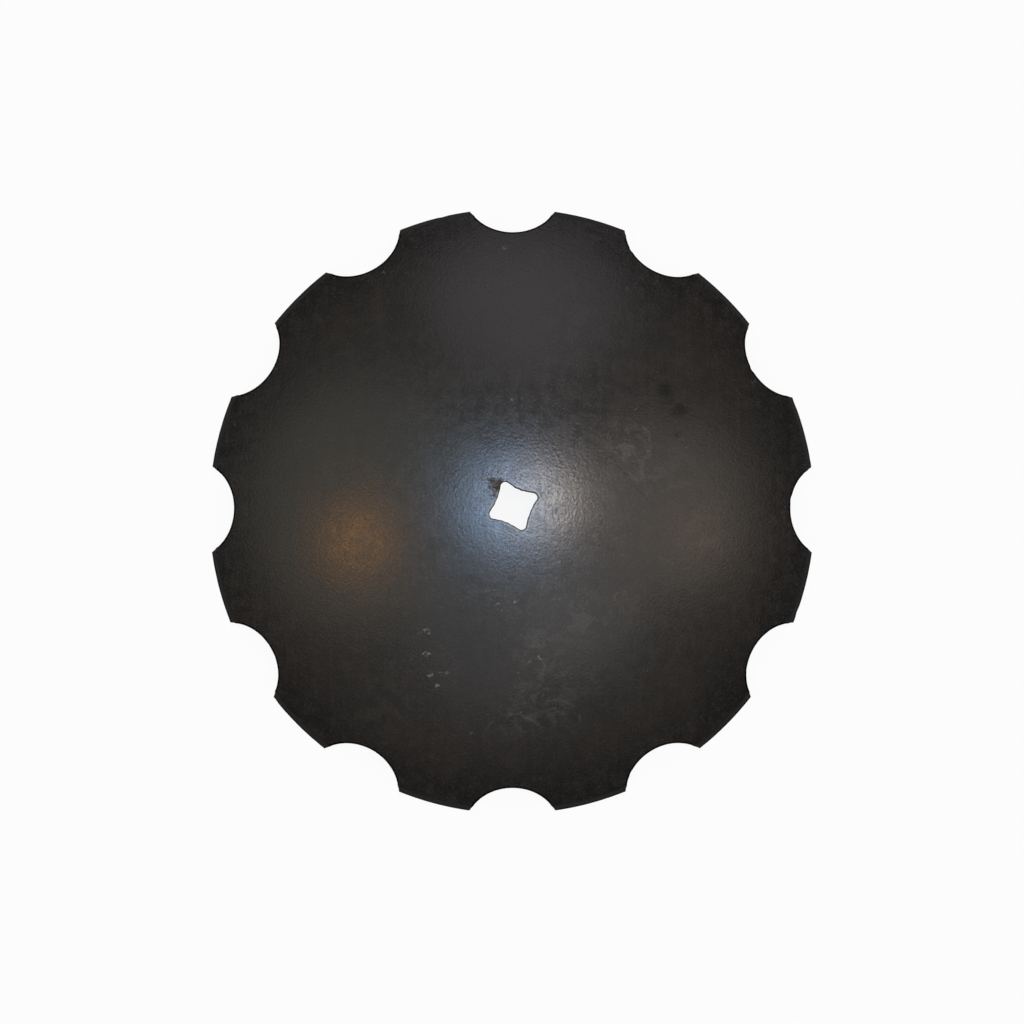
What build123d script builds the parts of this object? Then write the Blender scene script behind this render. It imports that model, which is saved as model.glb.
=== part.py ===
from build123d import *
import os
from math import asin, cos, degrees, sin

# Notched disc blade of a disc harrow.
#
# It is one sheet of hardened steel: a round blank with scalloped notches punched round its rim
# and a square axle hole punched in its middle, pressed into a shallow spherical dish, and ground
# to a cutting edge on the convex face of each lobe.
#
# It lies as it comes to rest, convex face up. The axle's axis is Z, the hole's sides face X and
# Y, and the rim's lowest edge, on the concave side, is at z = 0. Lengths are in millimetres.

# The plate and its dish
blade_diameter = 560.0
plate_thickness = 5.0
dish_radius = 600.0

# The cutting edge: how far the bevel runs back from the rim, and what grinding leaves of the
# plate's thickness at the rim itself
bevel_length = 8.0
edge_land = 0.9

# The notches, measured along the convex face
notch_count = 12
notch_radius = 43.0
notch_depth = 29.2
first_notch_angle = 22.0

# The axle hole: its sides bulge inwards, so its width is the gap between their middles
axle_hole_width = 31.8
axle_hole_bow = 4.0
axle_hole_corner_radius = 4.1

# The lip that a punch draws down round each opening of the convex face, where it enters
punch_lip_width = 1.0
punch_lip_depth = 0.5

# How far a cutting tool runs past the plate
overrun = 10.0

# Worked out from the sizes above, about the centre of the dish, with its angles in radians
inner_radius = dish_radius - plate_thickness
middle_radius = dish_radius - plate_thickness / 2
edge_radius = inner_radius + edge_land
rim_angle = asin(blade_diameter / 2 / edge_radius)
bevel_angle = rim_angle - bevel_length / dish_radius
notch_middle_angle = rim_angle + (notch_radius - notch_depth) / dish_radius


def on_dish(radius, angle):
    """A point of a section through the dish, by its distance from the dish's centre."""
    return radius * sin(angle), radius * cos(angle)


def dish_arc(radius, reach):
    """A section's arc about the dish's centre, from the axis out to an angle."""
    return ThreePointArc(*[on_dish(radius, share * reach) for share in (0, 0.5, 1)])


def dished_plate():
    """The dish with its ground edge and no holes, turned from its section."""
    concave = dish_arc(inner_radius, rim_angle)
    convex = dish_arc(dish_radius, bevel_angle)
    axis_side = Line(concave @ 0, convex @ 0)
    cutting_edge = Polyline(concave @ 1, on_dish(edge_radius, rim_angle), convex @ 1)
    section = make_face([concave, convex, axis_side, cutting_edge])
    return revolve(Plane.XZ * section, Axis.Z)


def notch_punch():
    """The round punch of a notch, upright over the dish's centre.

    Its side is a cone from that centre, so that the wall it leaves stands square to the plate
    all round. It flares at the convex face, for the lip.
    """
    half_angle = notch_radius / dish_radius
    lip_angle = half_angle + punch_lip_width / dish_radius
    foot = on_dish(inner_radius - overrun, half_angle)
    wall = Line(foot, on_dish(dish_radius - punch_lip_depth, half_angle))
    lip = Line(wall @ 1, on_dish(dish_radius, lip_angle))
    flare = Line(lip @ 1, lip @ 1 + overrun * (lip % 1))
    top = dish_radius + overrun
    rest = Polyline(flare @ 1, ((flare @ 1).X, top), (0, top), (0, foot[1]), foot)
    section = make_face([wall, lip, flare, rest])
    return revolve(Plane.XZ * section, Axis.Z)


def notches():
    """The punches of all the notches, each leaned out over its place on the rim."""
    punch = Rot(Y=degrees(notch_middle_angle)) * notch_punch()
    pitch = 360 / notch_count
    return [Rot(Z=first_notch_angle + i * pitch) * punch for i in range(notch_count)]


def axle_hole():
    """The square punch of the axle hole, with its bulging sides and rounded corners."""
    middle = axle_hole_width / 2
    corner = middle + axle_hole_bow
    side = ThreePointArc((corner, -corner), (middle, 0), (corner, corner))
    outline = make_face([Rot(Z=turn) * side for turn in (0, 90, 180, 270)])
    outline = fillet(outline.vertices(), axle_hole_corner_radius)
    punch = extrude(outline, plate_thickness + 2 * overrun)
    return Pos(0, 0, inner_radius - overrun) * punch


def on_convex_face(edge):
    """Whether an edge lies along the convex face, and not down through the plate."""
    return all((edge @ share).length > middle_radius for share in (0, 0.5, 1))


def disc_blade():
    """The finished blade, set down on its rim."""
    blank = dished_plate() - notches()
    punch = axle_hole()
    blade = blank - punch
    hole_rim = new_edges(blank, punch, combined=blade).filter_by(on_convex_face)
    convex_face = blade.faces().filter_by(GeomType.SPHERE).sort_by(SortBy.RADIUS)[-1]
    blade = chamfer(hole_rim, punch_lip_width, punch_lip_depth, reference=convex_face)
    return Pos(0, 0, -inner_radius * cos(rim_angle)) * blade


os.makedirs("parts", exist_ok=True)
export_step(disc_blade(), "parts/disc_blade.step")
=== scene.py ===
from math import acos, asin, cos, pi, radians, sin

import bpy
import numpy as np
from bpy.props import FloatProperty, FloatVectorProperty, IntProperty, PointerProperty
from mathutils import Matrix, Vector, noise


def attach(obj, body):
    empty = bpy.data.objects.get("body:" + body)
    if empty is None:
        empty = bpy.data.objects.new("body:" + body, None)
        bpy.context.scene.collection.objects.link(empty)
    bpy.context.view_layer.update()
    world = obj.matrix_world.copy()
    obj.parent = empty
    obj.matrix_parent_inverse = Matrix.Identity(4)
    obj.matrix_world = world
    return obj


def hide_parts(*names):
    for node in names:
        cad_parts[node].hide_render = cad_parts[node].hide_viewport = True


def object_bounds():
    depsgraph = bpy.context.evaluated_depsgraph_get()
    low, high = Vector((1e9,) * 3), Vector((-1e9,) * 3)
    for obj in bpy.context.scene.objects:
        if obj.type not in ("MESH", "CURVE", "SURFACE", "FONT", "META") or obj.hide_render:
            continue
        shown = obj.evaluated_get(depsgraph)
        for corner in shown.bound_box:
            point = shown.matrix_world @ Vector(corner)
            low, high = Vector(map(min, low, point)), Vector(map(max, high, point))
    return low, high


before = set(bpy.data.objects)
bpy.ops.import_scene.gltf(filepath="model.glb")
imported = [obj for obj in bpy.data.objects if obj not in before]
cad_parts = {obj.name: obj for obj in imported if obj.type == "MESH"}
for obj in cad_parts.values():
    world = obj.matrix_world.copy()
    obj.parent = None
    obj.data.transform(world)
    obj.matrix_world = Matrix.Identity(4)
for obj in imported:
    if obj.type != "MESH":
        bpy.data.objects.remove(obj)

bl_info = {
    "name": "Harrow disc blade",
    "version": (1, 0, 0),
    "blender": (4, 5, 0),
    "location": "3D View > Sidebar > Harrow",
    "description": "Dresses a notched disc blade in worn varnish and lights it on a pale floor",
    "category": "Add Mesh",
}

CAD_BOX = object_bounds()
MM = 0.001

# How finely the plate is divided: steps along a notch and along a lobe, down the ground bevel,
# across the convex and the hollow face, and through the plate
NOTCH_STEPS = 36
LOBE_STEPS = 20
PITCH_STEPS = NOTCH_STEPS + LOBE_STEPS
BEVEL_STEPS = 6
FACE_STEPS = 97
BACK_STEPS = 12
WALL_STEPS = 4

# The loops of points that follow the notches and the axle hole, in millimetres back from the
# edge: close together over the lips of the convex face, and fewer on the hollow one
NOTCH_LOOPS = (0, 0.12, 0.35, 0.65, 1.0, 2.0, 3.6, 5.8, 8.4, 11.5)
HOLE_LOOPS = (4.0, 3.0, 2.2, 1.5, 1.0, 0.65, 0.35, 0.12, 0)
HOLLOW_NOTCH_LOOPS = (0, 0.4, 1.5, 5.0, 11.5)
HOLLOW_HOLE_LOOPS = (4.0, 0.4, 0)

# Points along a side of the axle hole and round its corner, from which its outline is read, and
# the quarter turns over which the outline is repeated
SIDE_POINTS = 60
CORNER_POINTS = 40
QUARTERS = range(-1, 6)

# Roughly how long a notch and a lobe are along the rim, how far apart the points of the edge and
# of its walls lie there, and how far the axle hole's edge is from the axis
NOTCH_LENGTH = 84 * MM
LOBE_LENGTH = 70 * MM
EDGE_SPACING = 2.7 * MM
WALL_SPACING = 2.4 * MM
HOLE_REACH = 18 * MM

# How far from a punched edge its mark in the varnish reaches, the share of the lip's width that
# is cut steel, and how far from a lobe's corner the lip and the ground line's waver fade out
EDGE_FADE = 4 * MM
LIP_SHARE = 0.95
LIP_FADE = 2 * MM
GROUND_FADE = 8 * MM

# The unevenness of the edges: for each kind of wave its length and its seed
FINE_WAVES = (5 * MM, 3.1)
COARSE_WAVES = (31 * MM, 8.7)
NICK_WAVES = (9 * MM, 21.3)
GROUND_WAVES = (24 * MM, 5.5)
HOLE_WAVES = ((3 * MM, 14.2), (3 * MM, 9.4))
SEED_SPREAD = 0.37

# How deep those waves are, as shares of the unevenness that is asked for, the height above which
# a wave is a nick, and how far in from the edge they reach
STEADY_WEAR = 0.25
FINE_WEAR = 0.3
COARSE_WEAR = 0.25
NICK_WEAR = 6
NICK_START = 0.42
LEAST_WEAR, MOST_WEAR = 0.05, 3
GROUND_WEAR = 3
NOTCH_WEAR_REACH = 3 * MM
HOLE_WEAR_REACH = 2 * MM

# The torn part of a cut wall: where down the wall it starts and is full, how deep it is, how
# much that varies, and over what length
TEAR_START, TEAR_FULL = 0.35, 0.85
TEAR_DEPTH = 0.06 * MM
TEAR_VARIATION = 0.05 * MM
TEAR_LENGTH = 2.5 * MM
TEAR_SEED = 11.0

# The waviness that pressing leaves: its long and its short waves, how high the short ones are
# beside the long, and a depth, of which a point gets as large a share as its height is of the
# dish's radius
LONG_WAVES, SHORT_WAVES = 55 * MM, 21 * MM
SHORT_SHARE = 0.5
PRESSED_DEPTH = 0.04 * MM

# The angle from which an edge of the mesh is a sharp one
SHARP_ANGLE = radians(35)

# Places on the convex face are given as the camera sees them, in millimetres to the right of
# the axle's axis and above it, with a radius and a strength
PALE_CHIPS = (
    (-79, -112, 3.4, 0.9), (-84, -113, 2.4, 0.7), (-75, -114, 2.6, 0.6), (-77, -133, 2.6, 1.0),
    (-80, -132, 2.0, 0.9), (-75, -152, 2.6, 1.0), (-69, -161, 2.6, 0.9), (-66, -149, 2.0, 0.8),
    (-60, -150, 2.6, 0.8), (-52, -160, 1.8, 0.7), (-46, -195, 2.0, 0.8), (-38, -205, 2.0, 0.8),
    (2, -86, 2.6, 0.7), (7, -186, 2.4, 0.6), (27, -169, 2.6, 0.6), (-7, 240, 2.6, 0.8),
    (-12, 248, 2.0, 0.7), (110, 88, 2.4, 0.7), (-2, 96, 2.0, 0.7), (24, -136, 2.6, 0.8),
    (15, -140, 2.2, 0.7), (4, -150, 2.2, 0.7), (-14, -88, 2.6, 0.7), (-10, -94, 2.0, 0.6),
    (152, 62, 2.0, 0.6), (158, 54, 2.0, 0.6),
)
# Painted glints: small pale specks painted into the varnish's colour near the notch edges
SMALL_GLINTS = (
    (-118, 218, 4.0, 1.0), (-131, 211, 4.0, 0.9), (118, 213, 4.5, 1.0), (131, 209, 4.0, 0.9),
    (113, 205, 4.0, 0.8), (106, 201, 3.5, 0.7), (223, 117, 4.5, 0.9), (250, 3, 4.0, 0.7),
    (254, -16, 4.0, 0.7), (-254, 9, 4.5, 0.8), (-219, 130, 4.5, 0.8), (-256, 79, 4.0, 0.7),
    (-212, -112, 4.0, 0.7), (-21, -256, 4.0, 0.7), (118, -224, 4.0, 0.7), (216, -122, 4.5, 0.7),
)
CLOUDY_SCUFFS = (
    (105, 52, 24, 1.4), (118, 30, 18, 1.2), (92, 66, 14, 1.0), (28, -86, 30, 0.6),
    (62, -100, 26, 0.9), (8, -66, 20, 0.5), (24, -130, 26, 1.0), (22, -166, 26, 1.0),
    (36, -182, 20, 0.8), (50, -158, 24, 0.6), (10, -188, 20, 0.9), (-70, -140, 26, 0.4),
    (100, -92, 20, 0.5), (-20, -84, 18, 0.5), (150, 30, 30, 0.5), (-60, 60, 40, 0.3),
    (60, 150, 40, 0.3), (70, 12, 22, 0.4), (-110, -180, 30, 0.3), (140, -60, 30, 0.4),
)
DARK_BLOTCHES = (
    (139, 106, 9, 0.75), (142, 98, 7, 0.6), (152, 88, 9, 0.75), (146, 86, 7, 0.5),
    (-38, -66, 9, 0.4), (-30, -70, 7, 0.35), (-44, -62, 6, 0.3), (-100, 176, 18, 0.35),
    (-84, 172, 16, 0.35), (-108, 166, 14, 0.3), (148, 66, 4, 0.6),
)
BROWN_STAIN = (
    (-11, 20, 4.0, 1.1), (-15, 17, 4.0, 1.1), (-17, 21, 4.0, 0.9), (-21, 24, 4.5, 0.7),
    (-26, 27, 4.5, 0.45), (-17, 10, 3.5, 0.8), (-21, 17, 4.0, 0.5),
)

# How much wider than high the chips are
CHIP_STRETCH = 1.25

# Scratches from one place to another, with a width, and worn arcs with a radius, a width and the
# direction in degrees that each bulges to
SCRATCHES = (
    (72, 62, 132, -6, 1.5), (30, 40, 46, 33, 1.0), (-86, 30, -40, 12, 0.8),
    (60, -30, 104, -44, 0.8),
)
WORN_ARCS = (
    (1, -217, 30, 1.5, 92), (112, 62, 12, 1.6, 40), (40, -196, 22, 1.2, 60),
    (98, -86, 9, 1.4, 110), (120, 38, 9, 1.4, 250),
)

# How scratches and arcs are drawn: the share of their width that is at full strength, how many
# widths they wander, the share of a scratch over which each end fades, where an arc fades in
# from its ends, as shares of its radius, and the noise between which it is broken and whole
LINE_CORE = 0.2
SCRATCH_WANDER, ARC_WANDER = 1.5, 5
SCRATCH_END = 0.3
ARC_ENDS = (0.3, 0.8)
ARC_BREAKS = (0.36, 0.56)

# How many times longer than wide the rolling streaks are, how fine the hairlines in a scuff are,
# and the refractive indices of glossy varnish and of matt blackened steel
STREAK_STRETCH = 22
HAIR_FINENESS = 70
VARNISH_IOR = 1.5
CUT_IOR = 1.09

# Lamps, each a soft disc of light far off: its place as the camera sees it (degrees round from
# its right, and down from straight above), its width in degrees, its brightness and its colour
LAMPS = {
    "cool_key": (84, 3.2, 16, 0.295, (0.39, 0.63, 1.0)),
    "warm_key": (30, 7.6, 11, 0.148, (1.0, 0.78, 0.54)),
    "left_glow": (187, 29.9, 11, 0.055, (1.0, 0.42, 0.07)),
    "right_glow": (357, 37.5, 9, 0.012, (1.0, 0.68, 0.36)),
    "right_soft": (5, 31.5, 33, 0.080, (1.0, 0.89, 0.81)),
    "top_soft": (86, 45, 35, 0.067, (0.93, 0.90, 1.0)),
    "left_soft": (174, 28.4, 48, 0.088, (0.91, 1.0, 0.91)),
    "low_soft": (262, 22.7, 30, 0.039, (0.87, 0.91, 1.0)),
    "low_right_soft": (308, 24.2, 22, 0.032, (1.0, 0.98, 0.96)),
}

# The overhead light: the place of its middle, given as a lamp's is, and how many degrees from
# there it has ended and starts to fade
SKY_PLACE = (95, 2.6)
SKY_END, SKY_FADE = 57, 51

# The floor: points in each of its rings, the radii of the flat ones in metres, and how far out
# and up its rim sweeps, at these angles in degrees
FLOOR_POINTS = 96
FLAT_RINGS = (0.6, 2, 5)
SWEEP_REACH, SWEEP_RISE = 2.5, 4.0
SWEEP_ANGLES = range(8, 81, 8)

# Where the camera looks, in millimetres as the camera sees it, and its sensor in millimetres
VIEW_TARGET = (-0.30, -2.17)
SENSOR_WIDTH = 36


def seen_place(right, up, turn):
    """A place given as the camera sees it, in the blade's own X and Y."""
    return right * cos(turn) - up * sin(turn), right * sin(turn) + up * cos(turn)


class BladeSizes(bpy.types.PropertyGroup):
    diameter: FloatProperty(
        name="Diameter", description="Across the cutting edges of opposite lobes",
        default=round(CAD_BOX[1].x - CAD_BOX[0].x, 4), min=0.1, unit="LENGTH")
    thickness: FloatProperty(
        name="Plate thickness", description="Thickness of the sheet", default=5 * MM,
        unit="LENGTH")
    dish_radius: FloatProperty(
        name="Dish radius", description="Radius of the convex face", default=0.6, unit="LENGTH")
    bevel_length: FloatProperty(
        name="Bevel length", description="How far the ground edge runs back from the rim",
        default=8 * MM, unit="LENGTH")
    edge_land: FloatProperty(
        name="Edge land", description="Thickness that grinding leaves at the rim",
        default=0.9 * MM, unit="LENGTH")
    notches: IntProperty(name="Notches", description="Number of notches", default=12, min=3)
    notch_radius: FloatProperty(
        name="Notch radius", description="Radius of the notch punch", default=43 * MM,
        unit="LENGTH")
    notch_depth: FloatProperty(
        name="Notch depth", description="How far a notch reaches in from the rim",
        default=29.2 * MM, unit="LENGTH")
    first_notch: FloatProperty(
        name="First notch", description="Turn of the first notch from the hole's side",
        default=radians(22), subtype="ANGLE")
    hole_width: FloatProperty(
        name="Hole width", description="Gap between opposite sides of the axle hole",
        default=31.8 * MM, unit="LENGTH")
    hole_bow: FloatProperty(
        name="Hole bow", description="How far each side of the hole bulges inwards",
        default=4 * MM, unit="LENGTH")
    hole_corner: FloatProperty(
        name="Hole corner radius", description="Rounding of the hole's corners",
        default=4.1 * MM, unit="LENGTH")
    lip_width: FloatProperty(
        name="Lip width", description="Width of the lip that the punch draws down",
        default=1 * MM, unit="LENGTH")
    lip_depth: FloatProperty(
        name="Lip depth", description="Depth of the lip that the punch draws down",
        default=0.5 * MM, unit="LENGTH")
    unevenness: FloatProperty(
        name="Unevenness", description="How far the edges and the ground line waver",
        default=0.32 * MM, unit="LENGTH")


class VarnishLook(bpy.types.PropertyGroup):
    varnish: FloatVectorProperty(
        name="Varnish", description="The dark varnish", subtype="COLOR", size=3,
        default=(0.0085, 0.0078, 0.0072), min=0, max=1)
    brown: FloatVectorProperty(
        name="Thin varnish", description="Where the varnish is thin and the scale shows brown",
        subtype="COLOR", size=3, default=(0.0145, 0.0122, 0.0102), min=0, max=1)
    haze: FloatVectorProperty(
        name="Haze", description="Dusty haze left by rubbing", subtype="COLOR", size=3,
        default=(0.060, 0.056, 0.050), min=0, max=1)
    # the pale colour of the chips, and of the painted highlights: the glints and the line by the
    # hole
    pale_chips_and_highlights: FloatVectorProperty(
        name="Bare chips", description="Pale steel where the varnish has chipped off",
        subtype="COLOR", size=3, default=(0.26, 0.255, 0.235), min=0, max=1)
    ground: FloatVectorProperty(
        name="Ground bevel", description="The darkened steel of the ground bevel",
        subtype="COLOR", size=3, default=(0.016, 0.0152, 0.0144), min=0, max=1)
    cut: FloatVectorProperty(
        name="Cut edges", description="The blackened walls and lips that the punch leaves",
        subtype="COLOR", size=3, default=(0.003, 0.0029, 0.0028), min=0, max=1)
    rust: FloatVectorProperty(
        name="Stain", description="Brown stain beside the axle hole", subtype="COLOR", size=3,
        default=(0.10, 0.062, 0.038), min=0, max=1)
    gloss: FloatProperty(
        name="Roughness", description="Roughness of the clean varnish", default=0.253,
        min=0, max=1, subtype="FACTOR")
    grain: FloatProperty(
        name="Grain height", description="Height of the varnish's fine grain",
        default=0.06 * MM, unit="LENGTH")


class StageLook(bpy.types.PropertyGroup):
    view_turn: FloatProperty(
        name="View turn", description="Turn of the camera's right side from the hole's side",
        default=radians(22), subtype="ANGLE")
    view_tilt: FloatProperty(
        name="View tilt", description="Lean of the camera from straight above",
        default=radians(2.7), subtype="ANGLE")
    view_lean: FloatProperty(
        name="View lean direction", description="Direction of the lean in the picture",
        default=radians(-105.3), subtype="ANGLE")
    view_distance: FloatProperty(
        name="View distance", description="Camera to blade", default=2.5, unit="LENGTH")
    lens: FloatProperty(
        name="Lens", description="Focal length in millimetres", default=95.03, unit="CAMERA")
    floor_radius: FloatProperty(
        name="Floor radius", description="Where the floor starts to sweep up", default=9,
        unit="LENGTH")
    floor_colour: FloatVectorProperty(
        name="Floor colour", description="The pale floor", subtype="COLOR", size=3,
        default=(0.9, 0.9, 0.9), min=0, max=1)
    floor_lift: FloatProperty(
        name="Floor lift", description="Share of the floor that is seen as plain white",
        default=0.9, min=0, max=1, subtype="FACTOR")
    sky: FloatVectorProperty(
        name="Overhead light", description="The soft light from overhead", subtype="COLOR",
        size=3, default=(0.38, 0.345, 0.305), min=0, max=2)
    horizon: FloatVectorProperty(
        name="Side light", description="The dim light from the sides", subtype="COLOR", size=3,
        default=(0.026, 0.025, 0.026), min=0, max=2)


class Value:
    """A number on a socket. Arithmetic on it adds Math nodes to its tree."""

    def __init__(self, shading, socket):
        self.shading = shading
        self.socket = socket

    def _math(self, operation, *inputs, clamp=False):
        settings = dict(operation=operation, use_clamp=clamp)
        return self.shading.node("Math", settings, dict(enumerate(inputs)))["Value"]

    def __add__(self, other):
        return self._math("ADD", self, other)

    def __radd__(self, other):
        return self._math("ADD", other, self)

    def __sub__(self, other):
        return self._math("SUBTRACT", self, other)

    def __rsub__(self, other):
        return self._math("SUBTRACT", other, self)

    def __mul__(self, other):
        return self._math("MULTIPLY", self, other)

    def __rmul__(self, other):
        return self._math("MULTIPLY", other, self)

    def __pow__(self, other):
        return self._math("POWER", self, other)

    def __rpow__(self, other):
        return self._math("POWER", other, self)

    def __neg__(self):
        return self._math("MULTIPLY", self, -1.0)

    def clamped(self):
        """The number kept between 0 and 1."""
        return self._math("ADD", self, 0.0, clamp=True)

    def most(self, other):
        """The larger of two numbers."""
        return self._math("MAXIMUM", self, other)

    def size(self):
        """The number without its sign."""
        return self._math("ABSOLUTE", self)


class Outputs:
    """A node's outputs by name, numbers wrapped for arithmetic."""

    def __init__(self, shading, node):
        self.shading = shading
        self.node = node

    def __getitem__(self, name):
        socket = next(s for s in self.node.outputs if s.name == name and s.enabled)
        return Value(self.shading, socket) if socket.type == "VALUE" else socket


class Shading:
    """A node tree that is being filled."""

    def __init__(self, tree):
        self.tree = tree
        self.tree.nodes.clear()

    def node(self, kind, settings=None, inputs=None):
        """Adds a node: its settings first, then its sockets' values or links, by name or number."""
        node = self.tree.nodes.new("ShaderNode" + kind)
        for name, value in (settings or {}).items():
            setattr(node, name, value)
        for key, value in (inputs or {}).items():
            if isinstance(key, int):
                socket = node.inputs[key]
            else:
                socket = next(s for s in node.inputs if s.name == key and s.enabled)
            if isinstance(value, Value):
                value = value.socket
            if isinstance(value, bpy.types.NodeSocket):
                self.tree.links.new(value, socket)
            elif isinstance(value, (tuple, list)) and socket.type == "RGBA" and len(value) == 3:
                socket.default_value = (*value, 1.0)
            else:
                socket.default_value = value
        return Outputs(self, node)

    def noise(self, place, size, detail=2.0, roughness=0.5, swirl=0.0):
        """Cloudy noise about 0.5, with patches of a given size in metres."""
        return self.node("TexNoise", dict(noise_dimensions="3D"), {
            "Vector": place, "Scale": 1 / size, "Detail": detail, "Roughness": roughness,
            "Distortion": swirl})["Fac"]

    def step(self, value, low, high):
        """A smooth rise from 0 at low to 1 at high."""
        return self.node("MapRange", dict(interpolation_type="SMOOTHSTEP"), {
            "Value": value, "From Min": low, "From Max": high})["Result"]

    def blend(self, share, a, b):
        """A colour between two, by a share."""
        return self.node("Mix", dict(data_type="RGBA", clamp_factor=True), {
            0: share, 6: a, 7: b})["Result"]

    def painted(self, name):
        """A number painted on the mesh's points."""
        return self.node("Attribute", dict(attribute_name=name))["Fac"]

    def along(self, place, start, way):
        """How far a place lies from a start along a way, seen in plan."""
        away = self.node("VectorMath", dict(operation="SUBTRACT"), {
            0: place, 1: (*start, 0)})["Vector"]
        return self.node("VectorMath", dict(operation="DOT_PRODUCT"), {
            0: away, 1: (*way, 0)})["Value"]

    def line(self, away, width):
        """A line that fades over its width, from a distance away from its middle."""
        return 1 - self.step(away.size(), width * LINE_CORE, width)

    def scratch(self, place, start, end, width, wander):
        """A thin scratch that fades at both ends."""
        way = Vector(end) - Vector(start)
        length, way = way.length, way.normalized()
        along = self.along(place, start, way)
        across = self.along(place, start, (-way.y, way.x))
        across = across + (wander - 0.5) * width * SCRATCH_WANDER
        fade_in = self.step(along, 0, length * SCRATCH_END)
        fade_out = 1 - self.step(along, length * (1 - SCRATCH_END), length)
        return self.line(across, width) * (fade_in * fade_out)

    def worn_arc(self, place, middle, radius, width, way, wander):
        """A broken arc that bulges one way, rubbed by something round."""
        out = self.along(place, middle, way)
        side = self.along(place, middle, (-way[1], way[0]))
        away = (out * out + side * side) ** 0.5 - radius + (wander - 0.5) * width * ARC_WANDER
        ends = self.step(out, *(radius * share for share in ARC_ENDS))
        return self.line(away, width) * ends * self.step(wander, *ARC_BREAKS)

    def surface(self, colour, rough, height, grain, ior, metal=0.0):
        """The shader of steel with a fine relief, which ends the tree."""
        bump = self.node("Bump", None, {
            "Strength": 1.0, "Distance": grain, "Height": height})["Normal"]
        shader = self.node("BsdfPrincipled", None, {
            "Base Color": colour, "Roughness": rough, "Metallic": metal, "Normal": bump,
            "IOR": ior})["BSDF"]
        self.node("OutputMaterial", None, {"Surface": shader})


def notch_angles(size):
    """Angles at the dish's centre: the rim, the ground line, the punch and the punch's middle."""
    edge_radius = size.dish_radius - size.thickness + size.edge_land
    rim = asin(size.diameter / 2 / edge_radius)
    ground = rim - size.bevel_length / size.dish_radius
    punch = size.notch_radius / size.dish_radius
    middle = rim + (size.notch_radius - size.notch_depth) / size.dish_radius
    return rim, ground, punch, middle


def half_notch(reach, punch, middle):
    """Half the turn that a notch takes at a given reach from the axis."""
    above = np.cos(punch) - cos(middle) * np.cos(reach)
    return np.arccos(above / (sin(middle) * np.sin(reach)))


def waver(position, length, seed):
    """Smooth noise from -1 to 1 along a line, with waves of a given length."""
    return np.array([noise.noise((p / length, seed, seed * SEED_SPREAD)) for p in position])


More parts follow.
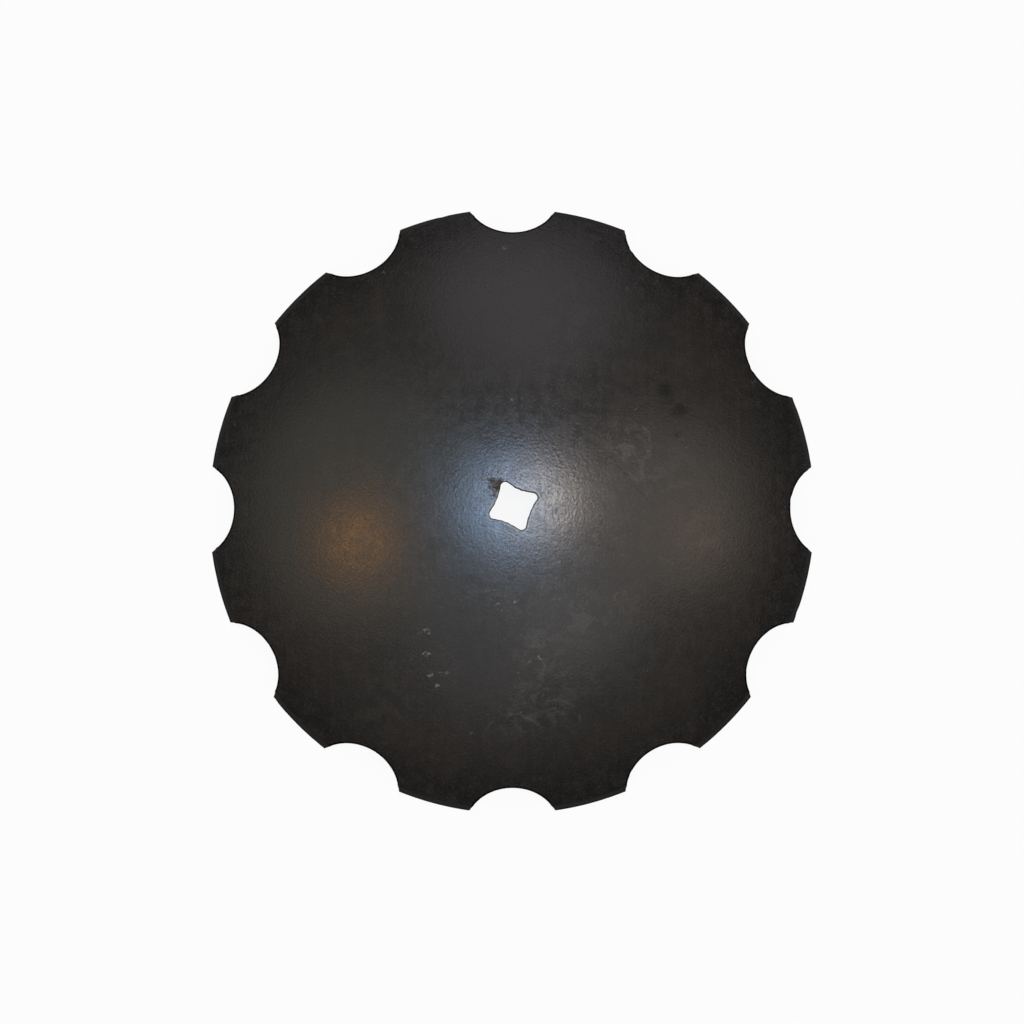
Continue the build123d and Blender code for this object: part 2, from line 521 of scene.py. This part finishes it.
class PlateGrid:
    """The blade's points and faces, in loops round the axle.

    A point is a turn round the axle, a reach from it (the angle at the dish's centre) and a
    depth into the plate. Both faces of the plate have the same points in a loop, and the hollow
    one has fewer loops.
    """

    def __init__(self, size):
        self.size = size
        self.rim, self.ground, self.punch, self.middle = notch_angles(size)
        self.pitch = 2 * pi / size.notches
        if not 2 * half_notch(self.rim, self.punch, self.middle) < self.pitch:
            raise ValueError("At these sizes the notches leave no lobes between them")
        self.columns = size.notches * PITCH_STEPS
        self.turns, self.reaches, self.depths, self.edges, self.grounds = [], [], [], [], []
        self.count = 0
        self.faces, self.finishes = [], []

        step = np.tile(np.arange(PITCH_STEPS), size.notches)
        self.is_notch = step < NOTCH_STEPS
        into_notch = np.minimum(step, NOTCH_STEPS - step) / NOTCH_STEPS * NOTCH_LENGTH
        into_lobe = np.minimum(step - NOTCH_STEPS, PITCH_STEPS - step) / LOBE_STEPS * LOBE_LENGTH
        self.from_corner = np.where(self.is_notch, into_notch, into_lobe)

        # grinding and use eat the edge inwards, with a nick here and there
        along = np.arange(self.columns) * EDGE_SPACING
        nick = np.clip(waver(along, *NICK_WAVES) - NICK_START, 0, 1) * NICK_WEAR
        wear = (STEADY_WEAR + FINE_WEAR * waver(along, *FINE_WAVES)
                + COARSE_WEAR * waver(along, *COARSE_WAVES) + nick)
        self.inset = size.unevenness * wear.clip(LEAST_WEAR, MOST_WEAR)
        fade = np.clip(self.from_corner / GROUND_FADE, 0, 1)
        self.ground_waver = size.unevenness * GROUND_WEAR * waver(along, *GROUND_WAVES) * fade

    def add(self, turn, reach, depth, edge=0.0, ground=0.0):
        """Adds points and gives their numbers.

        The edge is 1 at a punched notch and -1 at the hole, and the ground is 1 at the rim.
        """
        stores = (self.turns, self.reaches, self.depths, self.edges, self.grounds)
        for store, values in zip(stores, (turn, reach, depth, edge, ground)):
            store.append(np.broadcast_to(np.asarray(values, float), turn.shape))
        numbers = np.arange(self.count, self.count + turn.size)
        self.count += turn.size
        return numbers

    def loop(self, back):
        """Turn and reach round the blade, at a distance back from the notches and ground line."""
        size = self.size
        wear = np.exp(-back / NOTCH_WEAR_REACH)
        reach = self.ground - back / size.dish_radius
        punch = self.punch + back / size.dish_radius
        # each notch is an arc about its punch, as far as it meets the loop along the lobes
        meeting = cos(reach) - cos(punch) * cos(self.middle)
        span = acos(meeting / (sin(punch) * sin(self.middle)))
        around = span * (2 * np.arange(NOTCH_STEPS) / NOTCH_STEPS - 1)
        inset = (self.inset * wear).reshape(size.notches, -1)[:, :NOTCH_STEPS]
        wide = punch + inset / size.dish_radius
        x = np.cos(wide) * sin(self.middle) - np.sin(wide) * np.cos(around) * cos(self.middle)
        y = np.sin(wide) * np.sin(around)
        z = np.cos(wide) * cos(self.middle) + np.sin(wide) * np.cos(around) * sin(self.middle)
        half = half_notch(reach, punch, self.middle)
        lobe = half + (self.pitch - 2 * half) * np.arange(LOBE_STEPS) / LOBE_STEPS
        line = self.ground_waver.reshape(size.notches, -1)[:, NOTCH_STEPS:]
        line = line * wear / size.dish_radius
        turn = np.hstack([np.arctan2(y, x), np.tile(lobe, (size.notches, 1))])
        turn = turn + size.first_notch + self.pitch * np.arange(size.notches)[:, None]
        return turn.ravel(), np.hstack([np.arccos(z), reach - line]).ravel()

    def hole_outline(self, back):
        """Angle and distance from the axis along a quarter of the hole, set back from it."""
        size = self.size
        middle, corner = size.hole_width / 2, size.hole_width / 2 + size.hole_bow
        bow_radius = (corner ** 2 + size.hole_bow ** 2) / (2 * size.hole_bow)
        # the corner's round touches the sides: its centre is on the diagonal, inside the corner
        across = middle + bow_radius
        gap = bow_radius + size.hole_corner
        centre = (across - np.sqrt(2 * gap ** 2 - across ** 2)) / 2
        start = np.arctan2(centre, across - centre)
        side = np.linspace(-start, start, SIDE_POINTS)
        bend = np.linspace(-start, pi / 2 + start, CORNER_POINTS)[1:-1]
        bowed, rounded = bow_radius - back, size.hole_corner + back
        x = np.hstack([across - bowed * np.cos(side), centre + rounded * np.cos(bend)])
        y = np.hstack([bowed * np.sin(side), centre + rounded * np.sin(bend)])
        return np.arctan2(y, x), np.hypot(x, y)

    def hole_loop(self, back):
        """Turn and distance from the axis round the axle hole, at a distance back from it."""
        size = self.size
        angle, length = self.hole_outline(back)
        angle = np.hstack([angle + pi / 2 * quarter for quarter in QUARTERS])
        order = np.argsort(angle)
        length = np.tile(length, len(QUARTERS))
        turns = size.first_notch - half_notch(self.ground, self.punch, self.middle)
        turns = turns + 2 * pi * np.arange(self.columns) / self.columns
        places = (np.cos(turns) * HOLE_REACH, np.sin(turns) * HOLE_REACH)
        uneven = sum(waver(place, *waves) for place, waves in zip(places, HOLE_WAVES))
        wear = uneven * size.unevenness * np.exp(-back / HOLE_WEAR_REACH)
        return turns, np.interp(turns, angle[order], length[order]) + wear

    def sheet(self, front):
        """One face of the plate. Gives its outer loop and its loop at the axle hole."""
        size = self.size
        backs = np.array(NOTCH_LOOPS if front else HOLLOW_NOTCH_LOOPS) * MM
        hole_backs = np.array(HOLE_LOOPS if front else HOLLOW_HOLE_LOOPS) * MM
        steps = FACE_STEPS if front else BACK_STEPS
        lip = np.clip(self.from_corner / LIP_FADE, 0, 1) * self.is_notch
        rows = []
        for back in backs:
            turn, reach = self.loop(back)
            mark = np.where(self.is_notch, max(1 - back / EDGE_FADE, 0), 0)
            rows.append(self.add(turn, reach, self.depth(front, back, lip), mark))
        outer_turn, outer_reach = turn, reach
        hole_turn, hole_length = self.hole_loop(hole_backs[0])
        hole_reach = np.arcsin(hole_length / size.dish_radius)
        for share in np.arange(1, steps) / steps:
            turn = outer_turn + (hole_turn - outer_turn) * share
            reach = outer_reach + (hole_reach - outer_reach) * share
            rows.append(self.add(turn, reach, self.depth(front)))
        for back in hole_backs:
            turn, length = self.hole_loop(back)
            depth = self.depth(front, back)
            reach = np.arcsin(length / (size.dish_radius - depth))
            rows.append(self.add(turn, reach, depth, min(back / EDGE_FADE - 1, 0)))

        # a band is cut steel where its outer loop lies on the lip of a notch or of the hole
        places = np.hstack([backs, np.full(steps - 1, np.inf), hole_backs])
        on_lip = front & (places < size.lip_width * LIP_SHARE)
        parts = [self.is_notch] * len(backs) + [True] * (len(rows) - len(backs))
        for outer, inner, cut, part in zip(rows, rows[1:], on_lip, parts):
            self.band(outer, inner, front, cut & part)
        return self.bevels(rows[0], front), rows[-1]

    def depth(self, front, back=np.inf, lip=1):
        """Depth into the plate of a face, rolled down over its lip near a punched edge."""
        if not front:
            return self.size.thickness
        share = min(back / self.size.lip_width, 1)
        return self.size.lip_depth * (1 - np.sqrt(1 - (1 - share) ** 2)) * lip

    def add_faces(self, quads, cut):
        """Adds faces, which are cut steel or varnished."""
        self.faces.append(quads)
        self.finishes.append(np.broadcast_to(np.asarray(cut, int), len(quads)))

    def band(self, outer, inner, front, cut):
        """Faces between two loops of the same count."""
        a, b, c, d = outer, np.roll(outer, -1), np.roll(inner, -1), inner
        self.add_faces(np.stack([a, b, c, d] if front else [d, c, b, a], axis=1), cut)

    def patch(self, rows, front):
        """Faces of a patch whose rows run outwards, ground in front and varnished behind."""
        a, b, c, d = rows[1:, :-1], rows[1:, 1:], rows[:-1, 1:], rows[:-1, :-1]
        quads = np.stack([a, b, c, d] if front else [d, c, b, a], axis=-1)
        self.add_faces(quads.reshape(-1, 4), front)

    def bevels(self, ring, front):
        """The ground edge of each lobe, or the plain rim behind it. Gives the outer loop."""
        size = self.size
        patches = []
        for k in range(size.notches):
            lobe = k * PITCH_STEPS + NOTCH_STEPS + np.arange(LOBE_STEPS)
            end = (k + 1) % size.notches * PITCH_STEPS
            inset = np.append(self.inset[lobe], self.inset[end])
            length = size.bevel_length + np.append(self.ground_waver[lobe], 0)
            rows = [np.append(ring[lobe], ring[end])]
            for share in np.arange(1, BEVEL_STEPS + 1) / BEVEL_STEPS:
                reach = self.rim - (length * (1 - share) + inset * share) / size.dish_radius
                half = half_notch(reach, self.punch + inset / size.dish_radius, self.middle)
                width = self.pitch - half[0] - half[-1]
                turn = half[0] + width * np.arange(LOBE_STEPS + 1) / LOBE_STEPS
                turn = turn + size.first_notch + k * self.pitch
                depth = (size.thickness - size.edge_land) * share if front else size.thickness
                rows.append(self.add(turn, reach, depth, ground=share))
            rows = np.array(rows)
            self.patch(rows, front)
            patches.append(rows)
        loop = []
        for k in range(size.notches):
            before, after = patches[k - 1], patches[k]
            loop += list(before[::-1, -1])
            loop += list(ring[k * PITCH_STEPS + 1:k * PITCH_STEPS + NOTCH_STEPS])
            loop += list(after[:, 0])
            loop += list(after[-1, 1:-1])
        return np.array(loop)

    def wall(self, top, bottom, inward):
        """The plate's cut edge between its two faces, torn in its lower part."""
        turn, reach, depth = (np.concatenate(v) for v in (self.turns, self.reaches, self.depths))
        along = np.arange(top.size) * WALL_SPACING
        rows = [top]
        for i in range(1, WALL_STEPS):
            share = i / WALL_STEPS
            torn = TEAR_DEPTH + TEAR_VARIATION * waver(along, TEAR_LENGTH, TEAR_SEED + i)
            torn = torn * np.interp(share, (TEAR_START, TEAR_FULL), (0, 1))
            between = [v[top] + (v[bottom] - v[top]) * share for v in (turn, reach, depth)]
            between[1] = between[1] + inward * torn / self.size.dish_radius
            rows.append(self.add(*between, edge=1.0))
        rows.append(bottom)
        for upper, lower in zip(rows, rows[1:]):
            self.band(upper, lower, inward > 0, True)

    def points(self):
        """Every point in space, with the rim's lowest edge at the floor."""
        size = self.size
        turn, reach, depth = (np.concatenate(v) for v in (self.turns, self.reaches, self.depths))
        radius = size.dish_radius - depth
        flat = radius * np.sin(reach)
        drop = (size.dish_radius - size.thickness) * cos(self.rim)
        height = radius * np.cos(reach) - drop
        return np.stack([flat * np.cos(turn), flat * np.sin(turn), height], axis=1)


def pressed(points, dish_radius):
    """Sinks the points a very little, as pressing leaves the plate slightly wavy."""
    long = np.array([noise.noise(Vector(p) / LONG_WAVES) for p in points])
    short = np.array([noise.noise(Vector(p) / SHORT_WAVES) for p in points])
    # raised by as much as they can fall, so that no point rises out of the plate
    waves = long + SHORT_SHARE * short + 1 + SHORT_SHARE
    away = np.hypot(np.hypot(points[:, 0], points[:, 1]), dish_radius)
    sunk = points.copy()
    sunk[:, 2] -= points[:, 2] / away * waves * PRESSED_DEPTH
    return sunk


def paint_marks(points, marks, turn, stretch=1.0):
    """How strongly a set of marks covers each point, stretched along the camera's right."""
    cover = np.zeros(len(points))
    rights, ups = seen_place(points[:, 0] / MM, points[:, 1] / MM, -turn)
    for right, up, radius, strength in marks:
        away = np.hypot((rights - right) / stretch, (ups - up) * stretch) / radius
        cover = np.maximum(cover, strength * np.exp(-away ** 2))
    return cover


def new_material(name):
    """An empty material, and its node tree to fill."""
    material = bpy.data.materials.new(name)
    material.use_nodes = True
    return material, Shading(material.node_tree)


def varnished_steel(look, turn):
    """Worn dark varnish over rolled steel."""
    material, s = new_material("worn_varnish")
    varnish, brown, haze, pale_steel_and_highlight, cut, rust = map(
        tuple, (look.varnish, look.brown, look.haze, look.pale_chips_and_highlights, look.cut, look.rust))
    place = s.node("TexCoord")["Object"]
    streaky = s.node("Mapping", dict(vector_type="TEXTURE"), {
        "Vector": place, "Rotation": (0, 0, turn),
        "Scale": (1, STREAK_STRETCH, STREAK_STRETCH)})["Vector"]

    # the varnish's unevenness, from broad clouds down to fine grain, and streaks from rolling
    broad = s.noise(place, 70 * MM, detail=2)
    mottle = s.noise(place, 11 * MM, detail=3, roughness=0.6)
    grain = s.noise(place, 2.4 * MM, detail=2, roughness=0.5)
    speck = s.noise(place, 2.2 * MM, detail=3, roughness=0.75)
    streak = s.noise(streaky, 3.4 * MM, detail=2, roughness=0.6)
    cloud = s.noise(place, 13 * MM, detail=4, roughness=0.7, swirl=0.8)
    swirl = s.noise(place, 28 * MM, detail=2, roughness=0.5, swirl=1.5)
    hair = (1 - (swirl - 0.5).size() * HAIR_FINENESS).clamped() * s.step(mottle, 0.46, 0.58)

    arcs = 0.0
    for right, up, radius, width, facing in WORN_ARCS:
        way = seen_place(cos(radians(facing)), sin(radians(facing)), turn)
        middle = seen_place(right * MM, up * MM, turn)
        arcs = s.worn_arc(place, middle, radius * MM, width * MM, way, mottle) + arcs
    lines = 0.0
    for *ends, width in SCRATCHES:
        start, end = (seen_place(x * MM, y * MM, turn) for x, y in (ends[:2], ends[2:]))
        lines = s.scratch(place, start, end, width * MM, mottle) + lines

    # scuffs are haze, specks and hairlines, and specks break up the chips and the stain
    broken = s.step(cloud, 0.48, 0.58) * 0.45 + s.step(speck, 0.54, 0.70) * 0.5 + hair * 0.7
    scuff = (s.painted("scuff") * broken + arcs * 0.5).clamped()
    chip = s.step(s.painted("chip") * ((speck - 0.5) * 5 + 0.7), 0.3, 0.6) * 0.45
    # painted glints: pale specks painted near the notch edges, joined with the chips
    glint = s.step(s.painted("glint") * ((speck - 0.5) * 5 + 0.5), 0.4, 0.8) * 0.16
    pale_chips_and_highlights = chip.most(glint)
    blotch = s.step(s.painted("dark") + (mottle - 0.5) * 0.9, 0.15, 0.75)
    dark = (blotch + lines * s.step(grain, 0.4, 0.6)) * 0.7
    stain = s.step(s.painted("stain") + (speck - 0.5) * 2.4, 0.12, 1.15)

    # a thin pale line beside the axle hole is a painted highlight, and the lips themselves are
    # black, with a dark outline painted near-black on the varnish just beside them
    side = s.painted("edge")
    painted_lip_highlight = s.step(-side, 0.32, 0.44) * (1 - s.step(-side, 0.5, 0.62))
    painted_lip_highlight = painted_lip_highlight * s.step(mottle, 0.4, 0.6)
    edge = s.step(side, 0.42, 0.62) + s.step(-side, 0.84, 0.96)
    metal = (edge + dark * 0.5).clamped()

    thin = s.step(broad, 0.38, 0.66) * 0.5 + (mottle - 0.5) * 2.0 + (streak - 0.5) * 1.0
    colour = s.blend(thin.clamped(), varnish, brown)
    colour = s.blend(dark * 0.7, colour, cut)
    colour = s.blend(scuff * 0.9, colour, haze)
    # painted highlight: the pale line beside the axle hole
    colour = s.blend(painted_lip_highlight * 0.7, colour, pale_steel_and_highlight)
    colour = s.blend(stain, colour, s.blend(s.step(grain, 0.48, 0.64), varnish, rust))
    # the chips' pale steel, and the painted glints
    colour = s.blend(pale_chips_and_highlights, colour, pale_steel_and_highlight)
    # dark outline painted near-black beside the punched edges and the hole
    colour = s.blend(edge, colour, cut)

    rough = (look.gloss + (speck - 0.5) * 0.2 + (mottle - 0.5) * 0.2 + (streak - 0.5) * 0.08
             + stain * 0.5 + pale_chips_and_highlights * 0.3 + edge * 0.1).clamped()
    height = (grain - 0.5) * 1.9 + (streak - 0.5) * 0.3 + (mottle - 0.5) * 1.6 - pale_chips_and_highlights * 0.8
    s.surface(colour, rough, height, look.grain, VARNISH_IOR, metal)
    return material


def cut_steel(look):
    """Steel that was punched or ground, and has darkened: matt black, browner on the bevel."""
    material, s = new_material("cut_steel")
    place = s.node("TexCoord")["Object"]
    mottle = s.noise(place, 5 * MM, detail=3, roughness=0.6)
    fine = s.noise(place, 1.4 * MM, detail=2, roughness=0.6)
    ground = s.painted("ground")
    bevel = s.step(ground, 0.0, 0.12) * (1 - s.step(ground, 0.62, 0.85))
    colour = s.blend((bevel * (0.6 + mottle * 0.8)).clamped(), tuple(look.cut), tuple(look.ground))
    rough = (0.5 + (mottle - 0.5) * 0.2).clamped()
    s.surface(colour, rough, fine + mottle, look.grain, CUT_IOR)
    return material


def pale_floor(look):
    """A matt floor that is seen nearly white and keeps the blade's shadow."""
    material, s = new_material("pale_floor")
    path = s.node("LightPath")
    seen = (path["Is Camera Ray"] + path["Is Glossy Ray"] + path["Is Transmission Ray"]).clamped()
    matt = s.node("BsdfDiffuse", None, {"Color": tuple(look.floor_colour)})["BSDF"]
    white = s.node("Emission", None, {"Color": (1, 1, 1), "Strength": 1.0})["Emission"]
    surface = s.node("MixShader", None, {0: seen * look.floor_lift, 1: matt, 2: white})["Shader"]
    s.node("OutputMaterial", None, {"Surface": surface})
    return material


def new_piece(name, points, faces, *materials):
    """A smooth mesh object at the origin."""
    mesh = bpy.data.meshes.new(name)
    mesh.from_pydata(points, [], faces)
    mesh.validate()
    mesh.shade_smooth()
    for material in materials:
        mesh.materials.append(material)
    piece = bpy.data.objects.new(name, mesh)
    bpy.context.scene.collection.objects.link(piece)
    return piece


class HARROW_OT_blade(bpy.types.Operator):
    """Make the notched blade with its worn varnish, in place of the plain one"""

    bl_idname = "harrow.blade"
    bl_label = "Disc blade"

    def execute(self, context):
        scene = context.scene
        size, look, turn = scene.blade_sizes, scene.varnish_look, scene.stage_look.view_turn
        grid = PlateGrid(size)
        front_rim, front_hole = grid.sheet(front=True)
        back_rim, back_hole = grid.sheet(front=False)
        grid.wall(front_rim, back_rim, -1)
        grid.wall(front_hole, back_hole, 1)
        points = pressed(grid.points(), size.dish_radius)
        points[:, 2] = np.maximum(points[:, 2], 0)
        if not np.isfinite(points).all():
            raise ValueError("At these sizes the notches or the hole don't fit the blade")
        piece = new_piece("varnished_blade", points.tolist(), np.concatenate(grid.faces).tolist(),
                          varnished_steel(look, turn), cut_steel(look))
        mesh = piece.data
        mesh.polygons.foreach_set("material_index", np.concatenate(grid.finishes))
        mesh.set_sharp_from_angle(angle=SHARP_ANGLE)
        paints = {
            "edge": np.concatenate(grid.edges),
            "ground": np.concatenate(grid.grounds),
            "scuff": paint_marks(points, CLOUDY_SCUFFS, turn),
            "chip": paint_marks(points, PALE_CHIPS, turn, CHIP_STRETCH),
            "glint": paint_marks(points, SMALL_GLINTS, turn),
            "dark": paint_marks(points, DARK_BLOTCHES, turn),
            "stain": paint_marks(points, BROWN_STAIN, turn),
        }
        for name, values in paints.items():
            mesh.attributes.new(name, "FLOAT", "POINT").data.foreach_set("value", values)
        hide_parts("disc_blade")
        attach(piece, "root")
        return {"FINISHED"}


class HARROW_OT_stage(bpy.types.Operator):
    """Make the floor, the lamps, the overhead light and the camera"""

    bl_idname = "harrow.stage"
    bl_label = "Stage"

    def execute(self, context):
        scene, look = context.scene, context.scene.stage_look
        self.floor(look)
        self.overhead_light(scene, look)
        self.lamps(scene, look)
        self.camera(scene, look)
        scene.view_settings.view_transform = "Standard"
        return {"FINISHED"}

    def aim(self, around, down, look):
        """The direction of a place in the sky, as the camera sees it."""
        right, up = (sin(radians(down)) * f(radians(around)) for f in (cos, sin))
        return Vector((*seen_place(right, up, look.view_turn), cos(radians(down))))

    def floor(self, look):
        """A flat disc whose rim sweeps up, far from the blade."""
        rings = [(radius, 0) for radius in (*FLAT_RINGS, look.floor_radius)]
        rings += [(look.floor_radius + SWEEP_REACH * sin(a), SWEEP_RISE * (1 - cos(a)))
                  for a in np.radians(SWEEP_ANGLES)]
        turns = np.arange(FLOOR_POINTS) * 2 * pi / FLOOR_POINTS
        points = [(0, 0, 0)] + [(r * cos(t), r * sin(t), z) for r, z in rings for t in turns]
        here = np.arange(1, len(points)).reshape(len(rings), FLOOR_POINTS)
        beside = np.roll(here, -1, axis=1)
        faces = [(0, a, b) for a, b in zip(here[0].tolist(), beside[0].tolist())]
        quads = np.stack([here[:-1], here[1:], beside[1:], beside[:-1]], axis=-1)
        faces += quads.reshape(-1, 4).tolist()
        new_piece("floor", points, faces, pale_floor(look))

    def overhead_light(self, scene, look):
        """A broad soft light from above in a dim surround."""
        world = bpy.data.worlds.new("soft_overhead")
        world.use_nodes = True
        s = Shading(world.node_tree)
        facing = s.node("VectorMath", dict(operation="DOT_PRODUCT"), {
            0: s.node("TexCoord")["Generated"], 1: tuple(self.aim(*SKY_PLACE, look))})["Value"]
        share = s.step(facing, cos(radians(SKY_END)), cos(radians(SKY_FADE)))
        colour = s.blend(share, tuple(look.horizon), tuple(look.sky))
        light = s.node("Background", None, {"Color": colour, "Strength": 1.0})["Background"]
        s.node("OutputWorld", None, {"Surface": light})
        scene.world = world

    def lamps(self, scene, look):
        """The soft lamps that show in the varnish."""
        for name, (around, down, width, brightness, colour) in LAMPS.items():
            lamp = bpy.data.lights.new(name, "SUN")
            lamp.energy = brightness * pi
            lamp.angle = radians(width)
            lamp.color = colour
            thing = bpy.data.objects.new(name, lamp)
            way = self.aim(around, down, look)
            thing.rotation_euler = way.to_track_quat("Z", "Y").to_euler()
            scene.collection.objects.link(thing)

    def camera(self, scene, look):
        """The camera, almost straight above the blade."""
        cam = bpy.data.cameras.new("camera")
        cam.lens = look.lens
        cam.sensor_width = SENSOR_WIDTH
        right = Vector((*seen_place(1, 0, look.view_turn), 0))
        up = Vector((*seen_place(0, 1, look.view_turn), 0))
        target = right * VIEW_TARGET[0] * MM + up * VIEW_TARGET[1] * MM
        lean = right * cos(look.view_lean) + up * sin(look.view_lean)
        back = Vector((0, 0, 1)) * cos(look.view_tilt) + lean * sin(look.view_tilt)
        side = up.cross(back).normalized()
        turn = Matrix((side, back.cross(side), back)).transposed().to_4x4()
        thing = bpy.data.objects.new("camera", cam)
        thing.matrix_world = Matrix.Translation(target + back * look.view_distance) @ turn
        scene.collection.objects.link(thing)
        scene.camera = thing


class HARROW_PT_panel(bpy.types.Panel):
    bl_label = "Harrow disc blade"
    bl_idname = "HARROW_PT_panel"
    bl_space_type = "VIEW_3D"
    bl_region_type = "UI"
    bl_category = "Harrow"

    def draw(self, context):
        layout = self.layout
        for operator, group in ((HARROW_OT_blade, "blade_sizes"), (None, "varnish_look"),
                                (HARROW_OT_stage, "stage_look")):
            box = layout.box()
            settings = getattr(context.scene, group)
            for name in settings.__annotations__:
                box.prop(settings, name)
            if operator:
                box.operator(operator.bl_idname)


GROUPS = {"blade_sizes": BladeSizes, "varnish_look": VarnishLook, "stage_look": StageLook}
CLASSES = (*GROUPS.values(), HARROW_OT_blade, HARROW_OT_stage, HARROW_PT_panel)


def register():
    for item in CLASSES:
        bpy.utils.register_class(item)
    for name, group in GROUPS.items():
        setattr(bpy.types.Scene, name, PointerProperty(type=group))


def unregister():
    for name in GROUPS:
        delattr(bpy.types.Scene, name)
    for item in reversed(CLASSES):
        bpy.utils.unregister_class(item)


def main():
    register()
    bpy.ops.harrow.blade()
    bpy.ops.harrow.stage()


if __name__ == "__main__":
    main()
